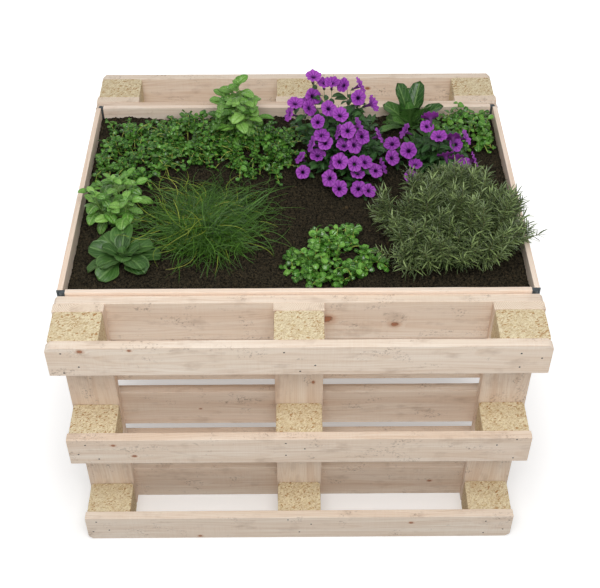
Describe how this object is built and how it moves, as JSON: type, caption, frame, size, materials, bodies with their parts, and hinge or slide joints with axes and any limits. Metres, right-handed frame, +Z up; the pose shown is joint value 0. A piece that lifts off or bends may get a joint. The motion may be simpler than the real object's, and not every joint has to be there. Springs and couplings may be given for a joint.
{
  "type": "raised planter",
  "caption": "Raised planter: a hinged wooden collar box of soil, herbs and flowers, held at working height between two pallets standing on edge.",
  "frame": {"origin": "on the floor under the middle of the planter", "axes": "+X along the pallets' length, +Y to the rear pallet, +Z up"},
  "size_m": [1.2, 1.15, 1.018],
  "materials": {
    "pallet_wood": "matte",
    "chipboard": "matte",
    "collar_wood": "matte",
    "dark_steel": "satin",
    "plywood": "matte",
    "soil": "matte",
    "leaf_green": "matte",
    "leaf_pale_green": "matte",
    "leaf_grey_green": "matte",
    "petal_purple": "matte"
  },
  "bodies": {
    "root": {"front_runner_bottom": "pallet_wood", "front_block_bottom_left": "chipboard", "front_block_bottom_centre": "chipboard", "front_block_bottom_right": "chipboard", "front_runner_middle": "pallet_wood", "front_block_middle_left": "chipboard", "front_block_middle_centre": "chipboard", "front_block_middle_right": "chipboard", "front_runner_top": "pallet_wood", "front_block_top_left": "chipboard", "front_block_top_centre": "chipboard", "front_block_top_right": "chipboard", "front_cross_board_left": "pallet_wood", "front_cross_board_centre": "pallet_wood", "front_cross_board_right": "pallet_wood", "front_deck_board_1": "pallet_wood", "front_deck_board_2": "pallet_wood", "front_deck_board_3": "pallet_wood", "front_deck_board_4": "pallet_wood", "front_deck_board_5": "pallet_wood", "rear_runner_bottom": "pallet_wood", "rear_block_bottom_left": "chipboard", "rear_block_bottom_centre": "chipboard", "rear_block_bottom_right": "chipboard", "rear_runner_middle": "pallet_wood", "rear_block_middle_left": "chipboard", "rear_block_middle_centre": "chipboard", "rear_block_middle_right": "chipboard", "rear_runner_top": "pallet_wood", "rear_block_top_left": "chipboard", "rear_block_top_centre": "chipboard", "rear_block_top_right": "chipboard", "rear_cross_board_left": "pallet_wood", "rear_cross_board_centre": "pallet_wood", "rear_cross_board_right": "pallet_wood", "rear_deck_board_1": "pallet_wood", "rear_deck_board_2": "pallet_wood", "rear_deck_board_3": "pallet_wood", "rear_deck_board_4": "pallet_wood", "rear_deck_board_5": "pallet_wood", "collar_board_front": "collar_wood", "collar_board_rear": "collar_wood", "collar_board_left": "collar_wood", "collar_board_right": "collar_wood", "collar_hinge_front_left": "dark_steel", "collar_hinge_front_right": "dark_steel", "collar_hinge_rear_left": "dark_steel", "collar_hinge_rear_right": "dark_steel", "ledger_front": "pallet_wood", "ledger_rear": "pallet_wood", "floor_panel": "plywood", "soil": "soil", "basil_left": "leaf_green", "broad_leaf_left": "leaf_green", "herb_mat_back": "leaf_pale_green", "grass_tuft": "leaf_green", "petunias": "petal_purple", "herb_back_right": "leaf_green", "herb_front": "leaf_pale_green", "rosemary": "leaf_grey_green"}
  },
  "joints": []
}
